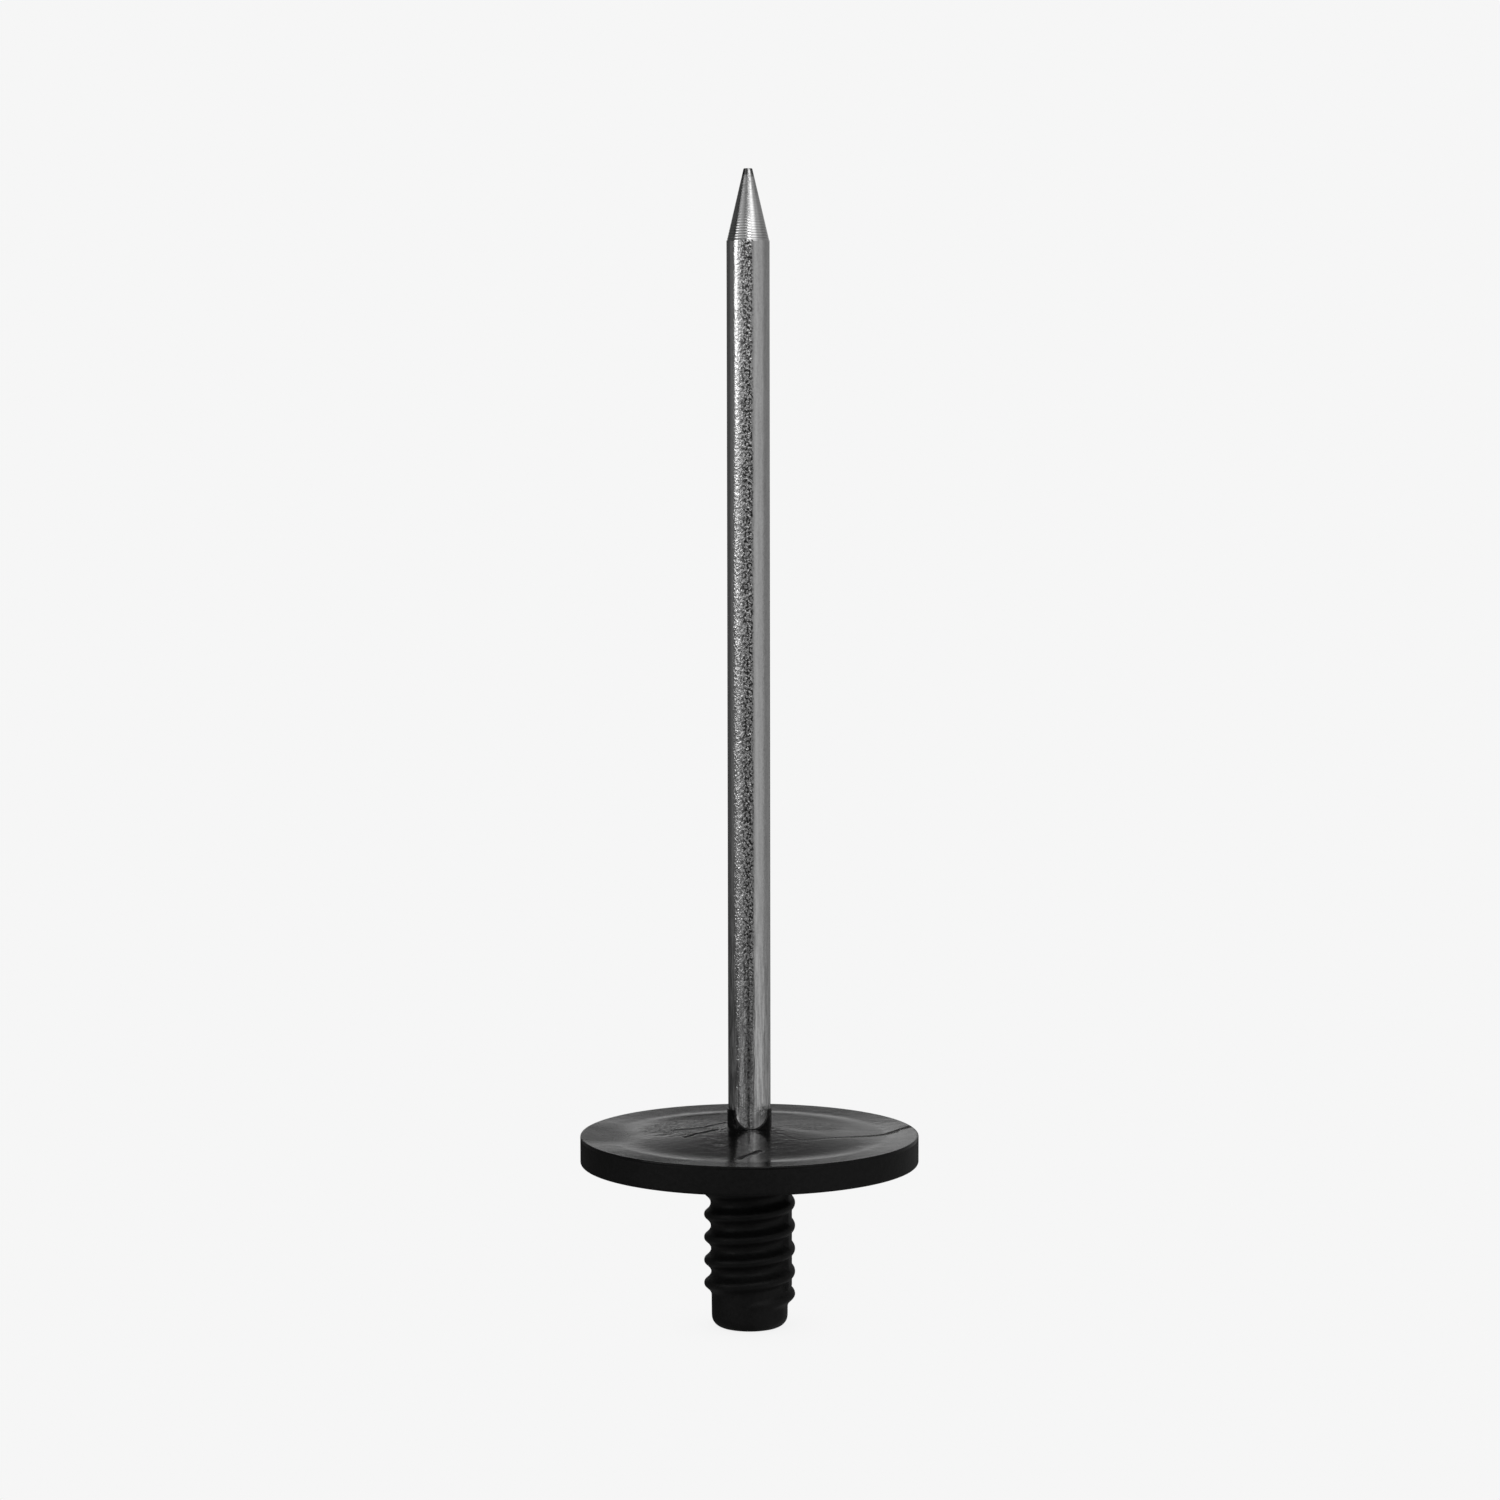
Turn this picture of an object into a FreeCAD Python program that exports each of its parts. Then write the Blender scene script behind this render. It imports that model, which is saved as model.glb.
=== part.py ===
"""Ground spike for a light hollow pole: a pointed steel rod moulded into a black base.

The base is one moulding, a foot disc with a coarse right-hand threaded stub under it. The stub
screws into the pole's open end until the pole seats on the disc's underside.

Frame: the origin is the centre of the disc's underside, the pole's seat. +Z runs along the spike
to its point, and the stub hangs below. All sizes are millimetres.
"""
import FreeCAD, Part
import os

import Sketcher

SIZES = {
    # steel spike: a turned rod whose tail is buried in the base
    "rod_radius": 5.0,
    "tip_height": 233.0,
    "tip_radius": 1.05,
    "shoulder_height": 216.5,
    # knurled tail, a plain cylinder at the knurl's mean radius, from just under the sleeve's top
    "tail_radius": 4.8,
    "tail_top_height": 12.9,
    "tail_depth": 32.0,
    "tail_chamfer_depth": 31.2,
    "tail_end_radius": 4.2,
    # groove that the moulding fills, so the rod can't pull out
    "groove_radius": 4.0,
    "groove_top_depth": 12.0,
    "groove_bottom_depth": 15.0,
    # two flats at the tail's end, so the rod can't turn
    "flat_offset": 4.1,
    "flat_top_depth": 21.0,
    "flat_cut_reach": 6.0,
    "flat_cut_depth": 33.0,
    # disc: its upper face dips from the rim into a shallow valley, then rises to the sleeve
    "disc_radius": 40.0,
    "rim_height": 6.7,
    "valley_radius": 30.5,
    "valley_height": 6.2,
    "hub_radius": 6.2,
    "hub_height": 8.3,
    # sleeve: the moulding's thin skin round the rod's foot, with a round window in its front
    "sleeve_radius": 5.25,
    "sleeve_foot_height": 8.6,
    "sleeve_top_height": 13.0,
    "window_radius": 4.0,
    "window_offset": 0.5,
    "window_height": 12.7,
    "window_depth": 6.0,
    "rim_top_rounding": 0.3,
    "rim_bottom_rounding": 0.5,
    # stub: a core with draft, rounded at its free end and filleted into the disc
    "stub_length": 39.3,
    "core_end_radius": 9.0,
    "core_neck_radius": 9.35,
    "stub_end_rounding": 2.5,
    "neck_fillet": 1.6,
    # thread ridge: starts at full height at thread_start_depth and climbs into the disc
    "thread_pitch": 5.5,
    "thread_turns": 6,
    "thread_start_depth": 31.75,
    "ridge_root_radius": 8.6,
    "ridge_root_top": 29.2,
    "ridge_root_bottom": 34.3,
    "ridge_crest_radius": 10.45,
    "ridge_crest_top": 30.85,
    "ridge_crest_bottom": 32.65,
    "ridge_peak_radius": 10.8,
    # quarter turn below the start, in which the ridge sinks into the core
    "run_in_turns": 0.25,
    "run_in_height": 1.375,
    "run_in_growth": -7.6,
}

# Sketcher's numbers for a line's ends, a circle's centre, the sketch's origin and its two axes
START, END, CENTRE = 1, 2, 3
H_AXIS, V_AXIS = -1, -2
ORIGIN = -1

# how near an edge lies to where it is looked for, and the least that a feature adds or cuts
EDGE_TOLERANCE = 0.01
LEAST_CHANGE_MM3 = 1.0

doc = FreeCAD.newDocument("post_anchor_spike")


def make_sizes():
    """Put every driving size in a spreadsheet, each under its own alias."""
    sheet = doc.addObject("Spreadsheet::Sheet", "sizes")
    for row, (alias, value) in enumerate(SIZES.items(), 1):
        sheet.set(f"A{row}", alias)
        sheet.set(f"B{row}", str(value))
        sheet.setAlias(f"B{row}", alias)
    doc.recompute()
    return sheet


sizes = make_sizes()


def signed(coordinate):
    """Value of a coordinate: an alias, an alias after a minus sign, or '' for zero."""
    if not coordinate:
        return 0.0
    value = float(getattr(sizes, coordinate.lstrip("-")))
    return -value if coordinate.startswith("-") else value


def bind(thing, prop, alias):
    """Tie a property to a size in the spreadsheet."""
    thing.setExpression(prop, f"sizes.{alias}")


def hold(sketch, kind, edge, end, coordinate):
    """Fix one coordinate of a point: on an axis for '', else at a distance from the sheet."""
    if not coordinate:
        axis = V_AXIS if kind == "DistanceX" else H_AXIS
        sketch.addConstraint(Sketcher.Constraint("PointOnObject", edge, end, axis))
        return
    points = [(ORIGIN, START), (edge, end)]
    if coordinate.startswith("-"):
        points.reverse()
    distance = abs(signed(coordinate))
    index = sketch.addConstraint(Sketcher.Constraint(kind, *points[0], *points[1], distance))
    bind(sketch, f"Constraints[{index}]", coordinate.lstrip("-"))


def draw_outline(sketch, corners):
    """Close a loop of straight lines through corners, each fixed by two sizes from the sheet."""
    points = [FreeCAD.Vector(signed(x), signed(y), 0) for x, y in corners]
    lines = []
    for start, end in zip(points, points[1:] + points[:1]):
        lines.append(sketch.addGeometry(Part.LineSegment(start, end)))
    for line, following in zip(lines, lines[1:] + lines[:1]):
        sketch.addConstraint(Sketcher.Constraint("Coincident", line, END, following, START))
    for line, (x, y) in zip(lines, corners):
        hold(sketch, "DistanceX", line, START, x)
        hold(sketch, "DistanceY", line, START, y)


def sketch_on(body, role, name):
    """Start a sketch on one of the body's own origin planes."""
    sketch = body.newObject("Sketcher::SketchObject", name)
    plane = next(f for f in body.Origin.OriginFeatures if f.Role == role)
    sketch.AttachmentSupport = [(plane, "")]
    sketch.MapMode = "FlatFace"
    return sketch


def revolve(body, sketch, name):
    """Turn a half profile round the body's Z axis."""
    turned = body.newObject("PartDesign::Revolution", name)
    turned.Profile = sketch
    turned.ReferenceAxis = (sketch, ["V_Axis"])
    turned.Angle = 360.0
    doc.recompute()
    return turned


def round_edge(body, name, radius, height, alias):
    """Fillet the circular edge that has this radius and height."""
    base = body.Tip
    edge_name = None
    for number, edge in enumerate(base.Shape.Edges, 1):
        curve = edge.Curve
        if not isinstance(curve, Part.Circle):
            continue
        miss = max(abs(curve.Radius - radius), abs(curve.Center.z - height))
        if miss < EDGE_TOLERANCE:
            edge_name = f"Edge{number}"
    if edge_name is None:
        raise RuntimeError(f"{name}: no edge of radius {radius} at height {height}")
    fillet = body.newObject("PartDesign::Fillet", name)
    fillet.Base = (base, [edge_name])
    bind(fillet, "Radius", alias)
    doc.recompute()


def make_steel_spike():
    """Turned rod with a conical point; its tail has a retaining groove and two flats."""
    body = doc.addObject("PartDesign::Body", "steel_spike")
    profile = sketch_on(body, "XZ_Plane", "spike_profile")
    draw_outline(profile, [
        ("", "tip_height"),
        ("tip_radius", "tip_height"),
        ("rod_radius", "shoulder_height"),
        ("rod_radius", "tail_top_height"),
        ("tail_radius", "tail_top_height"),
        ("tail_radius", "-groove_top_depth"),
        ("groove_radius", "-groove_top_depth"),
        ("groove_radius", "-groove_bottom_depth"),
        ("tail_radius", "-groove_bottom_depth"),
        ("tail_radius", "-tail_chamfer_depth"),
        ("tail_end_radius", "-tail_depth"),
        ("", "-tail_depth"),
    ])
    turned = revolve(body, profile, "turned_rod")

    sides = sketch_on(body, "XZ_Plane", "flat_sides")
    for side in ("", "-"):
        draw_outline(sides, [
            (f"{side}flat_offset", "-flat_top_depth"),
            (f"{side}flat_cut_reach", "-flat_top_depth"),
            (f"{side}flat_cut_reach", "-flat_cut_depth"),
            (f"{side}flat_offset", "-flat_cut_depth"),
        ])
    flats = body.newObject("PartDesign::Pocket", "tail_flats")
    flats.Profile = sides
    flats.Midplane = True
    flats.setExpression("Length", "4 * sizes.rod_radius")
    doc.recompute()
    if flats.Shape.Volume > turned.Shape.Volume - LEAST_CHANGE_MM3:
        raise RuntimeError("the tail flats cut nothing")
    return body


def draw_ridge(sketch):
    """Section of the thread ridge: two sloping flanks and a rounded crest."""
    corners = [
        ("ridge_root_radius", "-ridge_root_bottom"),
        ("ridge_crest_radius", "-ridge_crest_bottom"),
        ("ridge_crest_radius", "-ridge_crest_top"),
        ("ridge_root_radius", "-ridge_root_top"),
    ]
    points = [FreeCAD.Vector(signed(x), signed(y), 0) for x, y in corners]
    peak = FreeCAD.Vector(signed("ridge_peak_radius"), signed("-thread_start_depth"), 0)
    lower = sketch.addGeometry(Part.LineSegment(points[0], points[1]))
    crest = sketch.addGeometry(Part.Arc(points[1], peak, points[2]))
    upper = sketch.addGeometry(Part.LineSegment(points[2], points[3]))
    root = sketch.addGeometry(Part.LineSegment(points[3], points[0]))
    joins = [(lower, END, crest, START), (crest, END, upper, START),
             (upper, END, root, START), (root, END, lower, START)]
    for join in joins:
        sketch.addConstraint(Sketcher.Constraint("Coincident", *join))
    starts = [(lower, START), (crest, START), (crest, END), (root, START)]
    for (edge, end), (x, y) in zip(starts, corners):
        hold(sketch, "DistanceX", edge, end, x)
        hold(sketch, "DistanceY", edge, end, y)
    top = sketch.addGeometry(Part.Point(peak), True)
    sketch.addConstraint(Sketcher.Constraint("PointOnObject", top, START, crest))
    hold(sketch, "DistanceX", top, START, "ridge_peak_radius")
    hold(sketch, "DistanceY", top, START, "-thread_start_depth")


def wind(body, name, mode, bound, downwards):
    """Sweep the ridge's section along a helix about the body's Z axis."""
    section = sketch_on(body, "XZ_Plane", f"{name}_section")
    draw_ridge(section)
    before = body.Tip.Shape.Volume
    helix = body.newObject("PartDesign::AdditiveHelix", name)
    helix.Profile = section
    helix.ReferenceAxis = (section, ["V_Axis"])
    helix.Mode = mode
    helix.LeftHanded = False
    helix.Reversed = downwards
    for prop, alias in bound.items():
        bind(helix, prop, alias)
    doc.recompute()
    if helix.Shape.Volume < before + LEAST_CHANGE_MM3:
        raise RuntimeError(f"{name}: the ridge adds nothing")


def cut_window(body):
    """Cut the round window in the sleeve's front, towards -Y, down to the disc's upper face."""
    outline = sketch_on(body, "XZ_Plane", "window_outline")
    centre = FreeCAD.Vector(signed("window_offset"), signed("window_height"), 0)
    circle = outline.addGeometry(
        Part.Circle(centre, FreeCAD.Vector(0, 0, 1), signed("window_radius")))
    hold(outline, "DistanceX", circle, CENTRE, "window_offset")
    hold(outline, "DistanceY", circle, CENTRE, "window_height")
    radius = outline.addConstraint(
        Sketcher.Constraint("Radius", circle, signed("window_radius")))
    bind(outline, f"Constraints[{radius}]", "window_radius")
    before = body.Tip.Shape.Volume
    window = body.newObject("PartDesign::Pocket", "sleeve_window")
    window.Profile = outline
    window.Reversed = True
    bind(window, "Length", "window_depth")
    doc.recompute()
    if window.Shape.Volume > before - LEAST_CHANGE_MM3:
        raise RuntimeError("the sleeve's window cuts nothing")


def make_base_blank():
    """Disc, sleeve and threaded stub as one moulding, solid where the rod's tail will be."""
    body = doc.addObject("PartDesign::Body", "base_blank")
    profile = sketch_on(body, "XZ_Plane", "base_profile")
    draw_outline(profile, [
        ("", "-stub_length"),
        ("core_end_radius", "-stub_length"),
        ("core_neck_radius", ""),
        ("disc_radius", ""),
        ("disc_radius", "rim_height"),
        ("valley_radius", "valley_height"),
        ("hub_radius", "hub_height"),
        ("sleeve_radius", "sleeve_foot_height"),
        ("sleeve_radius", "sleeve_top_height"),
        ("", "sleeve_top_height"),
    ])
    revolve(body, profile, "disc_and_core")
    round_edge(body, "neck_fillet", signed("core_neck_radius"), 0.0, "neck_fillet")
    round_edge(body, "stub_end_rounding", signed("core_end_radius"), signed("-stub_length"),
               "stub_end_rounding")
    round_edge(body, "rim_bottom_rounding", signed("disc_radius"), 0.0, "rim_bottom_rounding")
    round_edge(body, "rim_top_rounding", signed("disc_radius"), signed("rim_height"),
               "rim_top_rounding")
    cut_window(body)
    wind(body, "thread_ridge", "pitch-turns-angle",
         {"Pitch": "thread_pitch", "Turns": "thread_turns"}, downwards=False)
    wind(body, "thread_run_in", "height-turns-growth",
         {"Height": "run_in_height", "Turns": "run_in_turns", "Growth": "run_in_growth"},
         downwards=True)
    return body


def make_moulded_base(blank, spike):
    """The moulding closes round the rod's tail, so the tail's own shape is its socket."""
    base = doc.addObject("Part::Cut", "moulded_base")
    base.Base = blank
    base.Tool = spike
    doc.recompute()
    return base


def check(thing):
    """Stop on a failed object or an unsound shape."""
    if "Invalid" in thing.State or "Error" in thing.State:
        raise RuntimeError(f"{thing.Name} failed: {thing.State}")
    if hasattr(thing, "Shape") and thing.isDerivedFrom("Part::Feature"):
        if thing.Shape.isNull() or not thing.Shape.isValid():
            raise RuntimeError(f"{thing.Name} has no valid shape")


spike = make_steel_spike()
blank = make_base_blank()
base = make_moulded_base(blank, spike)
for thing in doc.Objects:
    check(thing)

os.makedirs("parts", exist_ok=True)
for piece in (spike, base):
    if len(piece.Shape.Solids) != 1:
        raise RuntimeError(f"{piece.Label} is {len(piece.Shape.Solids)} solids")
    piece.Shape.exportStep(f"parts/{piece.Label}.step")
    box = piece.Shape.BoundBox
    print(f"{piece.Label}: {piece.Shape.Volume:.1f} mm3, z {box.ZMin:.2f} to {box.ZMax:.2f}")
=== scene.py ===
"""Looks of the post anchor spike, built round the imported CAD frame.

Two turned pieces stand for the two CAD nodes: a bright steel spike with a machined point, and a
black moulding of foot disc and threaded stub. Profiles are in millimetres and in the CAD frame,
with Z along the spike; meshes and materials are in metres.
"""
import math

import bpy
import numpy as np
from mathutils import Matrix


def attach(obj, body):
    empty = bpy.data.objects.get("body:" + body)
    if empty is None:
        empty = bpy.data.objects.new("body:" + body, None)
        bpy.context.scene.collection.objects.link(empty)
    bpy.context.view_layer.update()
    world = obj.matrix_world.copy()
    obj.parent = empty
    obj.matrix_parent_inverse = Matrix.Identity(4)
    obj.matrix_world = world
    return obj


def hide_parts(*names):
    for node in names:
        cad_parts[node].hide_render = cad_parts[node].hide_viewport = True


MM = 0.001
TURN = 2 * math.pi

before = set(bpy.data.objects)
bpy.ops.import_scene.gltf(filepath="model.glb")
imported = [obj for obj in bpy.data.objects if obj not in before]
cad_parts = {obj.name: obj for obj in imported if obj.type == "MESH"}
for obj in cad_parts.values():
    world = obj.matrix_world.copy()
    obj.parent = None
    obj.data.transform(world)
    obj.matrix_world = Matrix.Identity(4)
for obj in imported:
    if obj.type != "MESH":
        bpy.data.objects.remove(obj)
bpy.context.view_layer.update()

# ---------------------------------------------------------------- profiles, in mm


def run(start, end, step):
    """Points from start to end, at most a step apart, without the last."""
    count = max(1, math.ceil(math.dist(start, end) / step))
    return [tuple(np.add(start, np.subtract(end, start) * i / count)) for i in range(count)]


def arc(centre, radius, start, end, count):
    """Points on an arc from one angle to another, in degrees, ends included."""
    angles = np.radians(np.linspace(start, end, count + 1))
    return [(centre[0] + radius * math.cos(a), centre[1] + radius * math.sin(a)) for a in angles]


def bend(start, corner, end, count):
    """Points on a smooth bend that a corner pulls, without the last."""
    points = []
    for i in range(count):
        t = i / count
        points.append(tuple((1 - t) ** 2 * np.array(start) + 2 * t * (1 - t) * np.array(corner)
                            + t * t * np.array(end)))
    return points


def between(start, end, radius):
    """Point on a line at this distance from the axis."""
    t = (radius - start[0]) / (end[0] - start[0])
    return radius, start[1] + t * (end[1] - start[1])


SLEEVE_FOOT = 8.6
TAIL_RADIUS, TAIL_END_RADIUS = 4.8, 4.2
TAIL_END, TAIL_CHAMFER = -32.0, -31.2
FLAT_OFFSET, FLAT_TOP, FLAT_STEP = 4.1, -21.0, 0.05
GROOVE_RADIUS, GROOVE_LOW, GROOVE_HIGH = 4.0, -15.0, -12.0

# from the tail's end up to the sleeve's foot; the moulding copies it as its socket
TAIL = (
    run((TAIL_END_RADIUS, TAIL_END), (TAIL_RADIUS, TAIL_CHAMFER), 0.8)
    + run((TAIL_RADIUS, TAIL_CHAMFER), (TAIL_RADIUS, FLAT_TOP), 2.0)
    + [(TAIL_RADIUS, FLAT_TOP)]
    + run((TAIL_RADIUS, FLAT_TOP + FLAT_STEP), (TAIL_RADIUS, GROOVE_LOW), 2.0)
    + [(TAIL_RADIUS, GROOVE_LOW), (GROOVE_RADIUS, GROOVE_LOW), (GROOVE_RADIUS, GROOVE_HIGH)]
    + run((TAIL_RADIUS, GROOVE_HIGH), (TAIL_RADIUS, SLEEVE_FOOT), 2.5)
    + [(TAIL_RADIUS, SLEEVE_FOOT)]
)


def flatten(points):
    """Cut the tail's two flats into rings of points."""
    low = points[..., 2] <= FLAT_TOP + FLAT_STEP / 2
    points[..., 0] = np.where(low, np.clip(points[..., 0], -FLAT_OFFSET, FLAT_OFFSET),
                              points[..., 0])
    return points


# ---------------------------------------------------------------- meshes


def rings(outline, columns):
    """Turn an outline of (radius, height) round Z: an array of rows, columns and x, y, z."""
    outline = np.array(outline)
    angle = np.arange(columns) * TURN / columns
    radius, height = outline[:, :1], outline[:, 1:]
    return np.stack([radius * np.cos(angle), radius * np.sin(angle),
                     np.broadcast_to(height, (len(outline), columns))], axis=-1)


def skin(name, points, sharp_degrees):
    """Close rows of rings into a mesh, with a fan over the first and the last."""
    rows, columns, _ = points.shape
    start, end = (points[i].mean(axis=0) * [0, 0, 1] for i in (0, -1))
    vertices = np.concatenate([points.reshape(-1, 3), [start, end]]) * MM
    grid = np.arange(rows * columns).reshape(rows, columns)
    ahead = np.roll(grid, -1, axis=1)
    faces = np.stack([grid[:-1], ahead[:-1], ahead[1:], grid[1:]], axis=-1).reshape(-1, 4).tolist()
    faces += [(rows * columns, b, a) for a, b in zip(grid[0], ahead[0])]
    faces += [(rows * columns + 1, a, b) for a, b in zip(grid[-1], ahead[-1])]
    mesh = bpy.data.meshes.new(name)
    mesh.from_pydata(vertices.tolist(), [], faces)
    mesh.update()
    mesh.shade_smooth()
    mesh.set_sharp_from_angle(angle=math.radians(sharp_degrees))
    piece = bpy.data.objects.new(name, mesh)
    bpy.context.scene.collection.objects.link(piece)
    return piece


ROD_RADIUS = 5.0
SHOULDER_HEIGHT, SHOULDER_RADIUS = 216.5, 4.9
SHOULDER_EDGE = 0.4   # a ring this far below the shoulder keeps its shading off the rod
TIP_HEIGHT, TIP_RADIUS, TIP_ROUNDING = 233.0, 1.05, 0.18
FEED, FEED_DEPTH = 0.62, 0.03         # height between two feed marks on the point, and their depth
FEED_REACH = 0.24     # how far up the point they stay deep, of its height
FEED_FLOOR, FEED_END = 0.12, 0.96     # how deep they stay above that, and where they end
MARKED_RADIUS = 3.4   # the point's mesh is fine from the shoulder up to this radius


def make_spike():
    """Rod with its tail, a small step at the shoulder and a point with real feed marks."""
    cone_foot = (SHOULDER_RADIUS, SHOULDER_HEIGHT + 0.05)
    cone_top = (TIP_RADIUS, TIP_HEIGHT - TIP_ROUNDING)
    marked = between(cone_foot, cone_top, MARKED_RADIUS)
    outline = (
        TAIL
        + run((ROD_RADIUS, SLEEVE_FOOT), (ROD_RADIUS, SHOULDER_HEIGHT - SHOULDER_EDGE), 6.0)
        + [(ROD_RADIUS, SHOULDER_HEIGHT - SHOULDER_EDGE), (ROD_RADIUS, SHOULDER_HEIGHT - 0.12),
           (ROD_RADIUS - 0.03, SHOULDER_HEIGHT - 0.03), (ROD_RADIUS - 0.07, SHOULDER_HEIGHT)]
        + run(cone_foot, marked, 0.05)
        + run(marked, cone_top, 0.12)
        + [cone_top]
        + arc((TIP_RADIUS - TIP_ROUNDING, TIP_HEIGHT - TIP_ROUNDING), TIP_ROUNDING, 13, 90, 5)[1:]
        + [(TIP_RADIUS / 2, TIP_HEIGHT)]
    )
    points = flatten(rings(outline, 192))
    height = points[..., 2]
    angle = np.arctan2(points[..., 1], points[..., 0])
    # the tool's feed leaves a fine spiral, deepest near the shoulder
    up = np.clip((height - SHOULDER_HEIGHT) / (TIP_HEIGHT - SHOULDER_HEIGHT), 0, 1)
    depth = FEED_DEPTH * (np.exp(-(up / FEED_REACH) ** 2) + FEED_FLOOR)
    depth = depth * (up > 0) * (up < FEED_END)
    wave = np.cos((height / FEED - angle / TURN) * TURN) * 0.5 + 0.5
    inset = depth * wave ** 2
    points[..., :2] *= (1 - inset / np.hypot(points[..., 0], points[..., 1]))[..., None]
    return skin("spike_rod", points, 35)


STUB_END, CORE_END, CORE_NECK = -39.3, 9.0, 9.35
STUB_ROUNDING, NECK_FILLET = 2.5, 1.6
PITCH, TURNS, THREAD_START = 5.5, 6, -31.75
RUN_IN, RUN_IN_DROP = 0.25, 1.9       # turns before the full thread, and how far they dip
# the ridge's section: its crest's radius, half width and radius at the edge, then its root's
CREST, CREST_HALF, CREST_EDGE, ROOT, ROOT_HALF = 10.8, 0.9, 10.45, 8.6, 2.55
BLEND = 0.8           # how far the ridge's foot blends into the core
WEB_RADIUS, WEB_LOW, WEB_HIGH = 10.05, -30.6, -1.6    # fuller core along +X, where the mould closed
WEB_REACH, WEB_FADE = 24, 6           # half width and fade of the web, in degrees


def ridge(offset):
    """Radius of the thread ridge at a height from its crest: a rounded crest, then flanks."""
    sag = CREST - CREST_EDGE
    bow = (CREST_HALF ** 2 + sag ** 2) / (2 * sag)
    away = np.abs(offset)
    crest = CREST - bow + np.sqrt(np.maximum(bow ** 2 - offset ** 2, 0))
    flank = CREST_EDGE - (away - CREST_HALF) * (CREST_EDGE - ROOT) / (ROOT_HALF - CREST_HALF)
    return np.where(away < CREST_HALF, crest, flank)


def add_thread(points):
    """Raise the right-hand thread and its web out of the stub's core, wherever they stand proud."""
    core = np.hypot(points[..., 0], points[..., 1])
    turn = np.arctan2(points[..., 1], points[..., 0]) / TURN
    across = np.clip((WEB_REACH + WEB_FADE - np.abs(turn) * 360) / WEB_FADE, 0, 1)
    along = np.clip(points[..., 2] - WEB_LOW, 0, 1) * np.clip(WEB_HIGH - points[..., 2], 0, 1)
    web = across ** 2 * (3 - 2 * across) * along
    radius = core + np.maximum(WEB_RADIUS - core, 0) * web
    proud = np.zeros_like(radius)
    for lap in range(-1, TURNS + 1):
        along = turn + lap
        crest = THREAD_START + PITCH * along
        drop = np.clip(-along / RUN_IN, 0, 1) * RUN_IN_DROP
        there = (along >= -RUN_IN) & (along <= TURNS)
        proud = np.where(there, np.maximum(proud, ridge(points[..., 2] - crest) - drop), proud)
    near = np.clip(1 - np.abs(proud - radius) / BLEND, 0, 1)
    raised = np.maximum(proud, radius) + near ** 2 * BLEND / 4
    points[..., :2] *= (np.where(proud > radius - BLEND, raised, radius) / core)[..., None]


DISC_RADIUS, RIM_HEIGHT = 40.0, 6.7
RIM_LOW_ROUNDING, RIM_TOP_ROUNDING = 0.5, 0.3
VALLEY, HUB = (30.5, 6.2), (6.2, 8.3)
# thin sleeve round the rod's foot, with a round window in its front
SLEEVE_RADIUS, SLEEVE_TOP, SLEEVE_ROUNDING = 5.25, 13.0, 0.1
SLEEVE_INSIDE, UNDER_ROD = 4.93, 4.96     # both just under the rod's surface
WINDOW_RADIUS, WINDOW_OFFSET, WINDOW_HEIGHT, WINDOW_EDGE = 4.0, 0.5, 12.7, 0.25


def cut_window(points):
    """Sink the sleeve under the rod's surface inside the window."""
    x, y, height = points[..., 0], points[..., 1], points[..., 2]
    radius = np.hypot(x, y)
    inside = WINDOW_RADIUS - np.hypot(x - WINDOW_OFFSET, height - WINDOW_HEIGHT)
    share = np.clip(inside / WINDOW_EDGE + 0.5, 0, 1)
    share = np.where((y < 0) & (height > SLEEVE_FOOT) & (radius > UNDER_ROD), share, 0)
    sunk = radius + (UNDER_ROD - radius) * share ** 2 * (3 - 2 * share)
    points[..., :2] *= (sunk / radius)[..., None]
    return points


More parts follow.
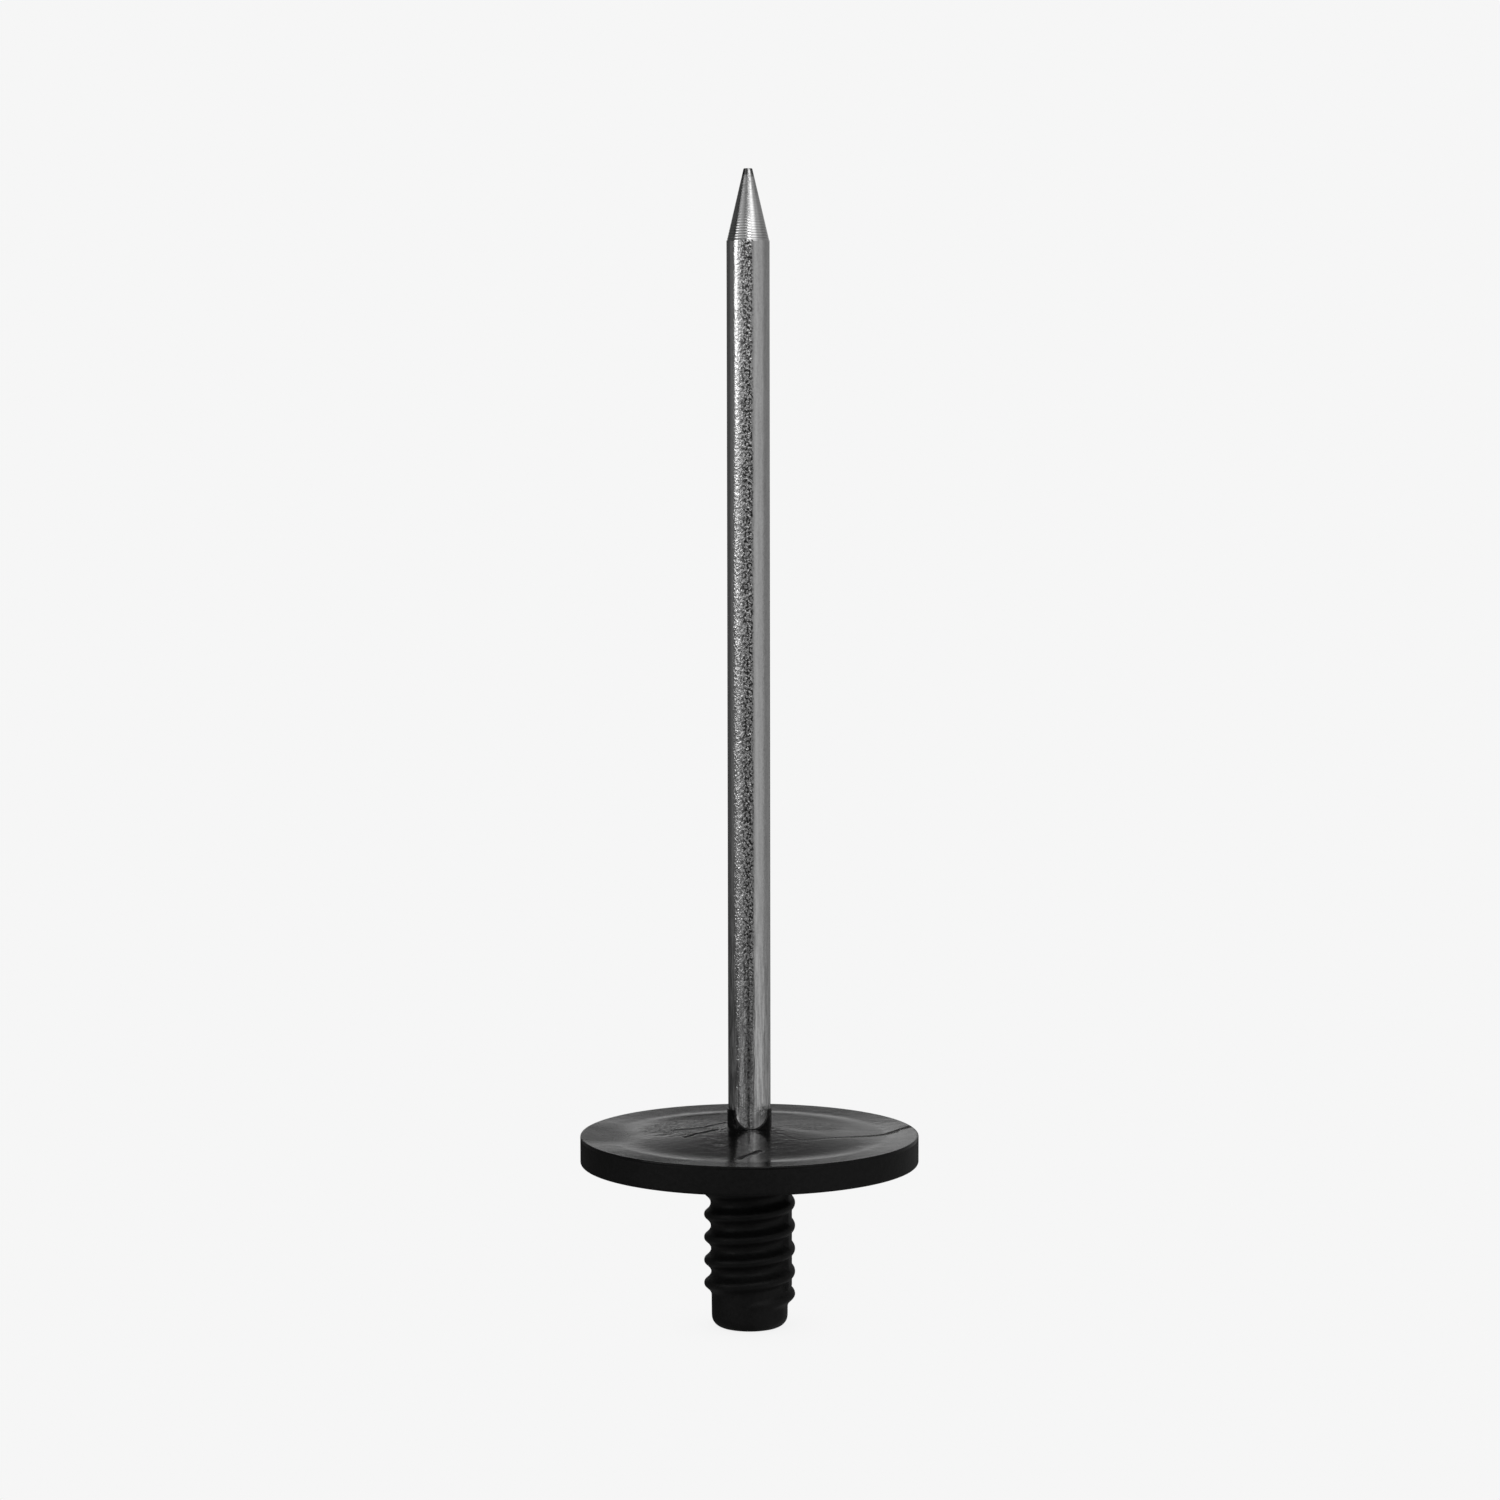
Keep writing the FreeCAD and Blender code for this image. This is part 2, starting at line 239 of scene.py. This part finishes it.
def make_base():
    """Foot disc and threaded stub as one skin, from the stub's end round to the socket's floor."""
    corner = (CORE_END - STUB_ROUNDING, STUB_END + STUB_ROUNDING)
    neck = (CORE_NECK + NECK_FILLET, -NECK_FILLET)
    stub = (
        run((0.5, STUB_END), (corner[0], STUB_END), 1.0)
        + arc(corner, STUB_ROUNDING, -90, 0, 9)
        + run((CORE_END + 0.02, corner[1] + 0.2), (CORE_NECK, -NECK_FILLET), 0.2)
        + arc(neck, NECK_FILLET, 180, 90, 9)
    )
    threaded = rings(stub, 300)
    add_thread(threaded)

    rim_low = (DISC_RADIUS - RIM_LOW_ROUNDING, RIM_LOW_ROUNDING)
    rim_top = (DISC_RADIUS - RIM_TOP_ROUNDING, RIM_HEIGHT - RIM_TOP_ROUNDING)
    rim_edge = (rim_top[0], RIM_HEIGHT)
    sleeve_top = (SLEEVE_RADIUS - SLEEVE_ROUNDING, SLEEVE_TOP - SLEEVE_ROUNDING)
    # the valley bends smoothly between two radii, and the top bends up to the sleeve from a third
    valley_out, valley_in = between(rim_edge, VALLEY, 33.5), between(VALLEY, HUB, 26.5)
    hub_out = between(VALLEY, HUB, 8.0)
    disc = (
        run((11.2, 0), (rim_low[0], 0), 2.0)
        + arc(rim_low, RIM_LOW_ROUNDING, -90, 0, 5)
        + run((DISC_RADIUS, 0.9), (DISC_RADIUS, rim_top[1]), 0.8)
        + arc(rim_top, RIM_TOP_ROUNDING, 0, 90, 5)
        + run(between(rim_edge, VALLEY, 39.4), valley_out, 0.5)
        + bend(valley_out, VALLEY, valley_in, 12)
        + run(valley_in, hub_out, 0.8)
        + bend(hub_out, HUB, (SLEEVE_RADIUS, SLEEVE_FOOT), 8)
        + run((SLEEVE_RADIUS, SLEEVE_FOOT), (SLEEVE_RADIUS, sleeve_top[1]), 0.1)
        + arc(sleeve_top, SLEEVE_ROUNDING, 0, 90, 4)
        + run((SLEEVE_INSIDE, SLEEVE_TOP), (SLEEVE_INSIDE, SLEEVE_FOOT), 1.0)
        + TAIL[::-1]
    )
    points = np.concatenate([threaded, cut_window(flatten(rings(disc, 300)))])
    return skin("base_moulding", points, 50)


# ---------------------------------------------------------------- node helpers


class Graph:
    """Short ways to lay shader nodes."""

    def __init__(self, tree):
        self.tree = tree
        tree.nodes.clear()

    def node(self, kind, inputs=(), **settings):
        made = self.tree.nodes.new(kind)
        for key, value in settings.items():
            setattr(made, key, value)
        for key, value in dict(inputs).items():
            self.feed(made.inputs[key], value)
        return made

    def feed(self, socket, value):
        if isinstance(value, bpy.types.NodeSocket):
            self.tree.links.new(value, socket)
        else:
            socket.default_value = value

    def math(self, operation, *values, clamp=False):
        made = self.node("ShaderNodeMath", enumerate(values), operation=operation)
        made.use_clamp = clamp
        return made.outputs[0]

    def vector(self, operation, *values):
        made = self.node("ShaderNodeVectorMath", enumerate(values), operation=operation)
        scalar = operation in ("DOT_PRODUCT", "LENGTH", "DISTANCE")
        return made.outputs["Value" if scalar else "Vector"]

    def scale(self, vector, factor):
        made = self.node("ShaderNodeVectorMath", {0: vector, "Scale": factor}, operation="SCALE")
        return made.outputs["Vector"]

    def ramp(self, value, low, high, start=0.0, end=1.0):
        """Smooth step from start to end as the value goes from low to high."""
        made = self.node("ShaderNodeMapRange", {
            "Value": value, "From Min": low, "From Max": high, "To Min": start, "To Max": end,
        }, interpolation_type="SMOOTHSTEP")
        return made.outputs["Result"]

    def noise(self, vector, scale, detail=2.0, roughness=0.5, distortion=0.0):
        made = self.node("ShaderNodeTexNoise", {
            "Vector": vector, "Scale": scale, "Detail": detail, "Roughness": roughness,
            "Distortion": distortion,
        })
        return made.outputs["Fac"]

    def bump(self, height, distance, normal=None, strength=1.0):
        inputs = {"Height": height, "Distance": distance, "Strength": strength}
        if normal is not None:
            inputs["Normal"] = normal
        return self.node("ShaderNodeBump", inputs).outputs["Normal"]

    def xyz(self, vector):
        made = self.node("ShaderNodeSeparateXYZ", {0: vector})
        return made.outputs[0], made.outputs[1], made.outputs[2]

    def join(self, x, y, z):
        return self.node("ShaderNodeCombineXYZ", {0: x, 1: y, 2: z}).outputs[0]

    def grey(self, value):
        return self.node("ShaderNodeCombineColor", {0: value, 1: value, 2: value}).outputs[0]


def new_material(name):
    """A material, its graph, and object coordinates in millimetres."""
    material = bpy.data.materials.new(name)
    material.use_nodes = True
    graph = Graph(material.node_tree)
    place = graph.node("ShaderNodeTexCoord").outputs["Object"]
    return material, graph, graph.vector("MULTIPLY", place, (1000, 1000, 1000))


def bearing(graph, x, y):
    """Degrees round the axis from the front, towards the right."""
    return graph.math("DEGREES", graph.math("ARCTAN2", x, graph.math("MULTIPLY", y, -1.0)))


def patch(graph, plan, centre, reach):
    """1 at a place in the plan, fading to 0 at its reach."""
    return graph.ramp(graph.vector("DISTANCE", plan, (*centre, 0.0)), 0.4 * reach, reach, 1.0, 0.0)


def shade(graph, colour, roughness, normal, **constants):
    """Finish a material with one surface shader and its constant settings."""
    surface = graph.node("ShaderNodeBsdfPrincipled", {
        "Base Color": colour, "Roughness": roughness, "Normal": normal,
    })
    for name, value in constants.items():
        surface.inputs[name.replace("_", " ")].default_value = value
    graph.node("ShaderNodeOutputMaterial", {"Surface": surface.outputs[0]})


# ---------------------------------------------------------------- materials


SIDE_ANGLE, SIDE_MIDDLE = 120.0, -24.5    # the bar's grainy sides repeat; the middle of one
SIDE_RAGGED = 3.0     # how far a side's edge wanders, in degrees
# a near-black stripe down the rod's front, low down: a painted dark reflection
DARK_REFLECTION_X, DARK_REFLECTION_WIDTH, DARK_REFLECTION_WANDER = -0.15, 0.62, 0.2
WAVE_DEPTH, STREAK_DEPTH, GRAIN_DEPTH = 0.08 * MM, 0.07 * MM, 0.17 * MM


def rod_steel():
    """Bright drawn rod: grain on the sides that the rolls held, streaks, a painted dark reflection
    down its front below and painted shade on its left side.
    """
    material, g, p = new_material("rod_steel")
    x, y, z = g.xyz(p)
    tall = g.join(x, y, g.math("MULTIPLY", z, 0.75))
    drawn = g.join(x, y, g.math("MULTIPLY", z, 0.1))
    grain = g.noise(tall, 1.9, 2.0, 0.6, 0.3)
    specks = g.noise(tall, 2.0, 1.0)
    waves = g.noise(tall, 0.3, 1.0)
    streaks = g.noise(drawn, 1.8, 2.0)

    ragged = g.ramp(specks, 0.3, 0.7, -SIDE_RAGGED - SIDE_MIDDLE, SIDE_RAGGED - SIDE_MIDDLE)
    side = g.math("ADD", bearing(g, x, y), ragged)
    side = g.math("WRAP", side, SIDE_ANGLE / 2, -SIDE_ANGLE / 2)
    grainy = g.math("MULTIPLY", g.ramp(side, -34.0, -4.0, 0.25, 1.0),
                    g.ramp(side, 31.0, 38.0, 1.0, 0.0))
    polished = g.math("MULTIPLY", g.ramp(z, 140.0, 180.0), g.ramp(side, -8.0, 4.0, 0.75, 0.0))
    grainy = g.math("MULTIPLY", grainy, g.math("SUBTRACT", 1.0, polished))
    grainy = g.math("MULTIPLY", grainy, g.ramp(z, 14.0, 60.0, 0.4, 1.0))
    low = g.ramp(z, 25.0, 75.0, 1.0, 0.2)

    normal = g.bump(waves, WAVE_DEPTH)
    normal = g.bump(streaks, STREAK_DEPTH, normal, low)
    normal = g.bump(grain, GRAIN_DEPTH, normal, g.math("MAXIMUM", grainy, 0.07))

    pitted = g.math("MULTIPLY", g.math("MULTIPLY", grainy, g.ramp(side, -10.0, 18.0, 0.35, 1.0)),
                    g.ramp(specks, 0.44, 0.52, 1.0, 0.0))
    # painted dark reflection: a near-black stripe down the rod's front, strongest near its foot
    across = g.math("ADD", x, g.ramp(streaks, 0.3, 0.7, -DARK_REFLECTION_WANDER, DARK_REFLECTION_WANDER))
    line = g.math("ABSOLUTE", g.math("SUBTRACT", across, DARK_REFLECTION_X))
    line = g.math("MULTIPLY", g.ramp(line, 0.0, DARK_REFLECTION_WIDTH, 1.0, 0.0),
                  g.ramp(y, -1.0, 0.0, 1.0, 0.0))
    line = g.math("MULTIPLY", line, g.math("MULTIPLY", g.ramp(z, 36.0, 70.0, 1.0, 0.0),
                                           g.ramp(specks, 0.35, 0.6, 1.0, 0.45)))
    dark = g.math("MAXIMUM", g.math("MULTIPLY", pitted, 0.9), g.math("MULTIPLY", line, 0.97))
    # painted shade: the rod's left side darker, most at its foot, gone by 120 mm up
    left_shade = g.math("MULTIPLY", g.ramp(x, -2.6, -1.0, 1.0, 0.0),
                   g.ramp(streaks, 0.35, 0.6, 0.5, 0.2))
    dark = g.math("MAXIMUM", dark, g.math("MULTIPLY", left_shade, g.ramp(z, 20.0, 120.0, 1.0, 0.0)))
    worn = g.math("MULTIPLY", g.ramp(streaks, 0.35, 0.65, -0.12, 0.12), low)
    tone = g.math("ADD", g.ramp(grain, 0.3, 0.6, 0.54, 0.60), worn)
    tone = g.math("MULTIPLY", tone, g.math("SUBTRACT", 1.0, dark))
    roughness = g.ramp(grain, 0.3, 0.7, 0.12, 0.08)
    shade(g, g.grey(tone), roughness, normal, Metallic=1.0)
    return material


# bearing of the strip left bright as a painted highlight on the darkened tip
TIP_HIGHLIGHT_BEARING = 14.0


def point_steel():
    """Turned point: fine tool lines round the axis, painted shade in the feed marks, and a tip
    painted dark all round but for one strip left bright as a painted highlight.
    """
    material, g, p = new_material("point_steel")
    x, y, z = g.xyz(p)
    flat = g.join(g.math("MULTIPLY", x, 0.15), g.math("MULTIPLY", y, 0.15), z)
    lines = g.noise(flat, 4.5, 3.0, 0.6)
    marks = g.noise(p, 1.4, 3.0, 0.6)
    smudge = g.math("MULTIPLY", g.ramp(marks, 0.5, 0.62), g.ramp(z, 224.0, 231.5))
    # painted shade round the tip, left off one strip towards the front and right as a painted
    # highlight
    away = g.math("ABSOLUTE", g.math("SUBTRACT", bearing(g, x, y), TIP_HIGHLIGHT_BEARING))
    tip_shade = g.math("MULTIPLY", g.ramp(z, 230.6, 232.2), g.ramp(away, 10.0, 24.0))
    # painted shade in the feed marks' grooves, fading up the point
    phase = g.math("SUBTRACT", g.math("MULTIPLY", z, TURN / FEED), g.math("ARCTAN2", y, x))
    groove_shade = g.math("MULTIPLY", g.ramp(g.math("COSINE", phase), 0.0, 1.0),
                  g.ramp(z, 217.0, 223.0, 0.4, 0.08))
    tone = g.math("SUBTRACT", g.ramp(lines, 0.3, 0.7, 0.54, 0.66), g.math("MULTIPLY", smudge, 0.25))
    tone = g.math("MULTIPLY", tone, g.ramp(tip_shade, 0.0, 1.0, 1.0, 0.25))
    tone = g.math("MULTIPLY", tone, g.math("SUBTRACT", 1.0, groove_shade))
    roughness = g.ramp(lines, 0.3, 0.7, 0.22, 0.15)
    normal = g.bump(lines, 0.006 * MM)
    normal = g.bump(marks, 0.008 * MM, normal)
    shade(g, g.grey(tone), roughness, normal, Metallic=1.0)
    return material


# lines that the mould's flow left on the disc's top, as points in mm on the disc's plane
KNIT_LINE = [
    (7.5, -6.8), (9.6, -10.3), (12, -12), (14.5, -11), (18, -8.3), (26, -3.4), (32.5, 1.2),
    (36, 6.2), (39, 10),
]
CREASES = [
    [(-5.5, 7), (-10.5, 2), (-17.5, 1.5)],
    [(-8, -2.5), (-12, -5), (-15, -7.5)],
    [(-2.5, -28.5), (2.5, -22.5)],
]


def distance_to(graph, place, points):
    """Distance from a place to a line through points, in mm."""
    nearest = None
    for start, end in zip(points, points[1:]):
        start, step = (*start, 0.0), (end[0] - start[0], end[1] - start[1], 0.0)
        offset = graph.vector("SUBTRACT", place, start)
        along = graph.math("DIVIDE", graph.vector("DOT_PRODUCT", offset, step),
                           step[0] ** 2 + step[1] ** 2, clamp=True)
        distance = graph.vector("DISTANCE", offset, graph.scale(step, along))
        nearest = distance if nearest is None else graph.math("MINIMUM", nearest, distance)
    return nearest


WRINKLE_DEPTH, MOTTLE_DEPTH = 0.36 * MM, 0.07 * MM
KNIT_DEPTH, CREASE_DEPTH = 0.08 * MM, 0.22 * MM


def moulded_rubber():
    """Black moulding: dull sides, and a glossier top with flow marks, a knit line and creases."""
    material, g, p = new_material("moulded_rubber")
    x, y, z = g.xyz(p)
    top = g.ramp(z, 5.9, 6.1)
    below = g.math("SUBTRACT", 1.0, top)
    plan = g.join(x, y, 0.0)
    wander = g.node("ShaderNodeTexNoise", {"Vector": p, "Scale": 0.35}).outputs["Color"]
    wander = g.vector("MULTIPLY", wander, (1.6, 1.6, 0.0))
    bent = g.vector("ADD", plan, g.vector("SUBTRACT", wander, (0.8, 0.8, 0.0)))
    radius = g.vector("LENGTH", plan)
    spoke = g.vector("ADD", g.scale(plan, g.math("DIVIDE", 9.0, radius)),
                     g.join(0.0, 0.0, g.math("MULTIPLY", radius, 0.12)))
    flow = g.noise(spoke, 0.8, 3.0, 0.55)
    wrinkle = g.noise(p, 0.42, 3.0, 0.55, 0.6)
    mottle = g.noise(p, 0.9, 4.0, 0.6)
    fine = g.noise(p, 3.2, 3.0, 0.6)
    broad = g.noise(p, 0.09, 2.0)

    knit = g.ramp(distance_to(g, bent, KNIT_LINE), 0.0, 1.0)
    crease = None
    for points in CREASES:
        line = g.ramp(distance_to(g, bent, points), 0.0, 1.1)
        crease = line if crease is None else g.math("MINIMUM", crease, line)
    inner = g.ramp(radius, 6.0, 30.0, 1.0, 0.25)
    outer = g.ramp(radius, 16.0, 38.0, 0.3, 1.0)
    # the top is rumpled on both sides of the rod, round its foot and less so in front
    rumpled = g.math("ADD", patch(g, plan, (-15, 5), 15), patch(g, plan, (14, 7), 11))
    front = patch(g, plan, (0, -14), 18)
    rumpled = g.math("MAXIMUM", g.math("ADD", rumpled, g.math("MULTIPLY", front, 0.35)),
                     patch(g, plan, (0, 0), 12))

    normal = g.bump(broad, 0.06 * MM, strength=top)
    normal = g.bump(flow, 0.02 * MM, normal, g.math("MULTIPLY", top, inner))
    normal = g.bump(wrinkle, WRINKLE_DEPTH, normal,
                    g.math("MULTIPLY", top, g.ramp(rumpled, 0.0, 1.0, 0.08, 1.0)))
    normal = g.bump(mottle, MOTTLE_DEPTH, normal,
                    g.math("MAXIMUM", g.ramp(rumpled, 0.0, 1.0, 0.12, 0.8), below))
    normal = g.bump(fine, 0.006 * MM, normal, g.ramp(top, 0.0, 1.0, 1.0, 0.2))
    normal = g.bump(knit, KNIT_DEPTH, normal, g.math("MULTIPLY", top, outer))
    normal = g.bump(crease, CREASE_DEPTH, normal, top)
    tone = g.ramp(mottle, 0.3, 0.7, 0.0035, 0.006)
    roughness = g.math("ADD", g.ramp(fine, 0.3, 0.7, 0.11, 0.16),
                       g.ramp(flow, 0.35, 0.65, 0.0, 0.03))
    dull = g.math("MAXIMUM", g.ramp(crease, 0.0, 1.0, 0.4, 0.0),
                  g.math("MULTIPLY", outer, g.ramp(knit, 0.0, 1.0, 0.3, 0.0)))
    # two patches on the rim's lip are less glossy
    matt = g.math("ADD", patch(g, bent, (-39, 1), 17), patch(g, bent, (-9, -38), 12))
    dull = g.math("MAXIMUM", dull, g.math("MULTIPLY", matt, 0.13))
    roughness = g.math("ADD", roughness, g.math("MAXIMUM", dull, g.math("MULTIPLY", below, 0.33)))
    shade(g, g.grey(tone), roughness, normal, Specular_IOR_Level=0.14)
    return material


BACKGROUND, CONTACT_SHADOW_TONE = 0.9216, 0.86    # tone of floor and backdrop, and of the painted contact shadow on the floor


def floor_paper():
    """Plain pale sweep: even to the eye, a faint painted contact shadow, clear from below."""
    material = bpy.data.materials.new("floor_paper")
    material.use_nodes = True
    g = Graph(material.node_tree)
    # painted contact shadow: the floor's glow dims where the object stands near it
    open_sky = g.node("ShaderNodeAmbientOcclusion", {"Distance": 20 * MM}, samples=8).outputs["AO"]
    tone = g.ramp(open_sky, 0.0, 1.0, CONTACT_SHADOW_TONE, BACKGROUND)
    pale = g.node("ShaderNodeEmission", {"Color": g.grey(tone)})
    clear = g.node("ShaderNodeBsdfTransparent")
    back = g.node("ShaderNodeNewGeometry").outputs["Backfacing"]
    surface = g.node("ShaderNodeMixShader", {0: back, 1: pale.outputs[0], 2: clear.outputs[0]})
    g.node("ShaderNodeOutputMaterial", {"Surface": surface.outputs[0]})
    return material


# ---------------------------------------------------------------- studio

BASE_LIGHT = 0.02
# azimuth from the camera towards its right, half width, softness; lowest and highest
# elevation, softness, all in degrees; then radiance
PANELS = [
    (-68, 9, 3, 0.7, 18, 1.3, 2.6),       # strip light on the left
    (-56, 10, 8, 0.3, 16, 1.5, 0.55),     # its softer flank
    (-66, 14, 8, 17, 40, 6, 0.45),        # its spill above
    (-74, 16, 6, -5.0, 0.5, 1.2, 0.14),   # and below
    (-43, 13, 8, -60, 60, 20, 0.22),      # wall on the left
    (-12, 42, 10, -4.6, 60, 1.5, 0.13),   # faint front above the ground
    (-66, 42, 16, -60, 8, 2, 0.12),       # low corner on the left
    (-130, 34, 14, -60, 60, 2, 0.06),     # dim wall behind it
    (12, 34, 14, -60, 60, 20, 0.12),      # dim front, brighter to the right
    (62, 26, 12, -60, 60, 20, 0.20),      # turning into the wall
    (93, 67, 10, -60, 60, 20, 0.25),      # smooth wall on the right
    (-4, 54, 8, 8.5, 21, 2, 0.5),         # pale band over the camera
    (6, 24, 10, 16, 22.5, 1.5, 1.5),      # its brighter middle
    (34, 16, 14, 21, 45, 6, 1.3),         # key light above, right of the camera
    (8, 9, 4, 36, 56, 5, 6.0),            # small lamp over it
    (180, 14, 6, 8.2, 12.5, 1.2, 0.68),   # band behind, brighter to the left
    (180, 1.6, 0.6, 9.5, 13.5, 1, 0.5),   # its middle
    (-168, 9.8, 0.6, 4.6, 12, 1.2, 0.45),
    (-161, 17, 0.6, 4.8, 8, 1, 0.2),      # lower on both sides
    (160, 19.3, 0.8, 4.2, 8, 1, 0.35),    # but not in the middle
    (180, 20, 10, 12, 18, 2, 0.25),       # haze over it
    (180, 14, 6, -4, 2.0, 1.5, 0.22),     # and at the floor's height
    (180, 20, 10, 17, 60, 3, 0.12),       # dim wall behind
    (0, 181, 1, 55, 95, 8, 0.3),          # ceiling
    (0, 181, 1, -95, -30, 8, 0.10),       # pale ground
]


def light_studio():
    """Even background for the camera; soft panels all round for everything else."""
    world = bpy.data.worlds.new("studio")
    world.use_nodes = True
    bpy.context.scene.world = world
    g = Graph(world.node_tree)
    x, y, z = g.xyz(g.node("ShaderNodeTexCoord").outputs["Generated"])
    azimuth = bearing(g, x, y)
    elevation = g.math("DEGREES", g.math("ARCSINE", z))
    light = BASE_LIGHT
    for across, half, soft, low, high, fade, radiance in PANELS:
        turned = g.math("WRAP", g.math("SUBTRACT", azimuth, across), 180.0, -180.0)
        side = g.ramp(g.math("ABSOLUTE", turned), half - soft, half + soft, radiance, 0.0)
        above = g.ramp(elevation, low - fade, low + fade)
        below = g.ramp(elevation, high - fade, high + fade, 1.0, 0.0)
        panel = g.math("MULTIPLY", side, g.math("MULTIPLY", above, below))
        light = g.math("ADD", light, panel)
    seen = g.node("ShaderNodeLightPath").outputs["Is Camera Ray"]
    shown = g.node("ShaderNodeMix", {"Factor": seen, "A": light, "B": BACKGROUND})
    sky = g.node("ShaderNodeBackground", {"Color": g.grey(shown.outputs["Result"])})
    g.node("ShaderNodeOutputWorld", {"Surface": sky.outputs[0]})
    bpy.context.scene.view_settings.view_transform = "Standard"


FLOOR_REACH = 3.0     # in metres, as the camera's place is


def lay_floor():
    """Sweep under the stub's end, seen but left out of reflections."""
    mesh = bpy.data.meshes.new("floor")
    reach = FLOOR_REACH
    corners = [(-reach, -reach), (reach, -reach), (reach, reach), (-reach, reach)]
    mesh.from_pydata([(x, y, STUB_END * MM) for x, y in corners], [], [(0, 1, 2, 3)])
    floor = bpy.data.objects.new("floor", mesh)
    bpy.context.scene.collection.objects.link(floor)
    floor.data.materials.append(floor_paper())
    floor.visible_glossy = False
    floor.visible_diffuse = False


CAMERA_PLACE = (0, -0.89249, 0.1767)
CAMERA_DOWN, CAMERA_ROLL, CAMERA_TURN = 0.088093, 0.0016, -0.00045    # in radians
LENS, SENSOR = 91.68, 36.0            # in millimetres


def set_camera():
    """Camera in front, above the middle of the rod, tilted slightly down."""
    data = bpy.data.cameras.new("camera")
    data.lens = LENS
    data.sensor_width = SENSOR
    data.clip_start = 0.01
    camera = bpy.data.objects.new("camera", data)
    camera.location = CAMERA_PLACE
    camera.rotation_euler = (math.pi / 2 - CAMERA_DOWN, CAMERA_ROLL, CAMERA_TURN)
    bpy.context.scene.collection.objects.link(camera)
    bpy.context.scene.camera = camera


# ---------------------------------------------------------------- the object

set_camera()
light_studio()
lay_floor()

spike = make_spike()
spike.data.materials.append(rod_steel())
spike.data.materials.append(point_steel())
point_foot = (SHOULDER_HEIGHT - 0.02) * MM
for face in spike.data.polygons:
    if face.center.z > point_foot:
        face.material_index = 1
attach(spike, "root")
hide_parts("steel_spike")

base = make_base()
base.data.materials.append(moulded_rubber())
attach(base, "root")
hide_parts("moulded_base")
